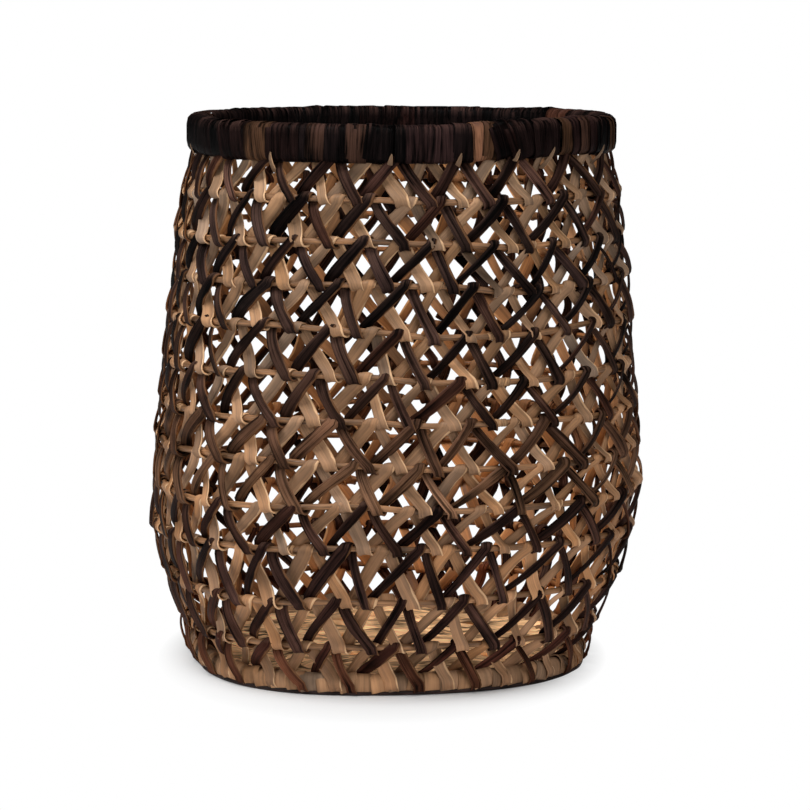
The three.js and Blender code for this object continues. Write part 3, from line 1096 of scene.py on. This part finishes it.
class BASKET_OT_rim(bpy.types.Operator):
    """Winds strips of bark round the rim and gives its core a fibre skin"""

    bl_idname = "basket.rim"
    bl_label = "Bind the rim"

    def execute(self, context):
        rim = context.scene.basket_rim
        rng = numbers("rim")
        low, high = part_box("rim_binding")
        hoop = hoops[0]
        middle = hoop.middle[2]
        half = RIM_HALF_WIDTH - rim.thickness / 2
        bottom = low.z - middle + rim.thickness / 2
        top = high.z - middle - rim.thickness / 2 - RIM_DROP
        outline = [(-half, bottom), (half, bottom), (half, top), (-half, top)]
        base = np.array(rim.colour)

        def tints(angle):
            turns = len(angle)
            strip = np.cumsum(rng.uniform(size=turns) < 0.45)  # one strip winds on for a few turns
            strips = strip[-1] + 1
            tone = np.exp(rng.normal(size=strips) * 0.55)[strip] * np.exp(rng.normal(size=turns) * 0.2)
            warm = np.clip(rng.normal(size=strips), 0, 2)[strip]
            tint = base * tone[:, None] * (1 + np.multiply.outer(warm, [0.5, 0.12, 0.0]))
            for place, reach, colour in RIM_BROWNS:
                near = np.abs(degrees_from_front(angle) - place) < reach
                tint[near] = np.array(colour) * rng.uniform(0.75, 1.2, (near.sum(), 1))
            return np.clip(tint, DARKEST, 1)

        drift = round_wave(rng, 0.08, 1, 9)

        def slant(angle):
            place, reach, lean = RIM_LEAN
            near = np.exp(-(((degrees_from_front(angle) - place) / reach) ** 2))
            return drift(angle) + rng.normal(size=len(angle)) * 0.05 - lean * near

        points = wound_points(hoop, rim.wraps, 0.25, slant, math.radians(3.6), tints, rng)
        # The bark's colour holds a painted highlight on the ridges that face up
        material = fibre_material(
            "bark_skin", fibres=6, length=0.05, contrast=0.95, bump=0.5 * MM, shine=(0.4, 0.65),
            gloss=0.02, painted_top_highlight=BARK_TOP_HIGHLIGHT,
        )
        piece = wind(
            "rim_wraps", outline, 8 * MM, 4, [points], corners=10, breadth=rim.breadth,
            thickness=rim.thickness / rim.breadth, roundness=0.12, ridges=5.0, ridge_length=60 * MM,
            ridge_depth=0.35 * MM, unevenness=0.018, material=material,
        )
        attach(piece, "bark_binding", "rim_binding")
        fill_core()
        return {"FINISHED"}


class BASKET_OT_base(bpy.types.Operator):
    """Loops pale strips round the base and runs the dark cord along its edge"""

    bl_idname = "basket.base"
    bl_label = "Bind the base"

    def execute(self, context):
        floor = context.scene.basket_floor
        rng = numbers("base")
        hoop = hoops[-1]
        outline = [(x * MM, z * MM - hoop.middle[2]) for x, z in PLEAT_SECTION]
        base = np.array(floor.pale_colour)

        def tints(angle):
            tone = rng.normal(size=len(angle)) * 0.16
            warm = rng.normal(size=len(angle))
            tint = base * (1.02 + tone)[:, None] * (1 + np.multiply.outer(warm, [0.05, 0, -0.08]))
            return np.clip(tint, 0.01, 1)

        slant = round_wave(rng, 0.16, 2, 38)
        points = wound_points(hoop, floor.pleats, 0.08, slant, math.radians(5), tints, rng)
        material = fibre_material(
            "pleat_skin", fibres=2.5, length=0.06, contrast=0.4, bump=0.3 * MM, shine=(0.6, 0.85)
        )
        piece = wind(
            "base_pleats", outline, 3 * MM, 3, [points], corners=14, breadth=floor.pleat_breadth,
            thickness=PLEAT_THICKNESS / floor.pleat_breadth, roundness=0.15, ridge_depth=0.5 * MM,
            unevenness=0.03, material=material,
        )
        attach(piece, "pale_strip", "base_binding")
        run_cord()
        return {"FINISHED"}


class BASKET_OT_mat(bpy.types.Operator):
    """Lays the crinkled leaf cords of the floor"""

    bl_idname = "basket.mat"
    bl_label = "Lay the mat"

    def execute(self, context):
        floor = context.scene.basket_floor
        rng = numbers("mat")
        low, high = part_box("base_mat")
        hoop = hoops[-1]
        thick = high.z - low.z
        reach = hoop.radius - MAT_INSET
        every = np.linspace(-math.pi, math.pi, 1441)
        edge = outward(every) * (reach * plan_share(every))[:, None] + hoop.middle
        bend = round_wave(rng, 3.5 * MM, 3, 9)  # neighbouring cords lie in the same curves
        count = int(2 * reach / floor.cord_pitch)
        paths = []
        for i in range(count):
            y = hoop.middle[1] + (i - (count - 1) / 2) * floor.cord_pitch
            near = edge[np.abs(edge[:, 1] - y) < 2 * MM, 0]
            x = np.arange(near.min(), near.max(), CORD_STEP)
            sway = bend(x * MAT_CURVES) + evenly(x, rng.normal(size=20) * 1.2 * MM)
            lift = evenly(x, rng.normal(size=26) * 1.0 * MM)
            roll = CORD_ROLL * np.sin(x / ROLL_LENGTH + rng.uniform(0, 6))
            tone = evenly(x, rng.normal(size=24) * 0.2)
            paths.append({
                "points": np.column_stack([x, y + sway, np.full(len(x), thick / 2) + lift]),
                "facing": np.column_stack([np.zeros(len(x)), np.sin(roll), np.cos(roll)]),
                "breadth": np.full(len(x), floor.cord_pitch * CORD_OVERLAP),
                "start": np.full(len(x), i * CORD_STRETCH),
                "tint": np.clip(np.array(floor.leaf_colour) * (1 + tone)[:, None], 0.02, 1),
            })
        material = fibre_material(
            "leaf_skin", fibres=4, length=0.06, contrast=0.95, bump=1.6 * MM, shine=(0.6, 0.9)
        )
        piece = grow(
            "leaf_cords", paths, strip_tree(), corners=16, thickness=0.42, roundness=0.6, ridges=6.0,
            ridge_length=22 * MM, ridge_depth=5 * MM, material=material,
        )
        attach(piece, "leaf_cord", "base_mat")
        return {"FINISHED"}


class BASKET_PT_panel(bpy.types.Panel):
    """Shows the basket's build steps and settings in the sidebar"""

    bl_label = "Laced Cane Basket"
    bl_idname = "BASKET_PT_panel"
    bl_space_type = "VIEW_3D"
    bl_region_type = "UI"
    bl_category = "Basket"

    def draw(self, context):
        for operator in OPERATORS:
            self.layout.operator(operator.bl_idname)
        for group in GROUPS:
            settings = getattr(context.scene, group)
            box = self.layout.box()
            for name in settings.bl_rna.properties.keys():
                if name not in ("rna_type", "name"):
                    box.prop(settings, name)


GROUPS = {
    "basket_weave": BasketWeave,
    "basket_cane": BasketCane,
    "basket_rim": BasketRim,
    "basket_floor": BasketFloor,
    "basket_stage": BasketStage,
}
OPERATORS = (  # in the order of the build
    BASKET_OT_stage, BASKET_OT_hoops, BASKET_OT_dark_laces, BASKET_OT_pale_laces,
    BASKET_OT_rim, BASKET_OT_base, BASKET_OT_mat,
)
CLASSES = (*GROUPS.values(), *OPERATORS, BASKET_PT_panel)


def register():
    for kind in CLASSES:
        bpy.utils.register_class(kind)
    for name, group in GROUPS.items():
        setattr(bpy.types.Scene, name, bpy.props.PointerProperty(type=group))


def unregister():
    for name in GROUPS:
        delattr(bpy.types.Scene, name)
    for kind in reversed(CLASSES):
        bpy.utils.unregister_class(kind)


def main():
    register()
    for operator in OPERATORS:
        getattr(bpy.ops.basket, operator.bl_idname.split(".")[1])()


if __name__ == "__main__":
    main()
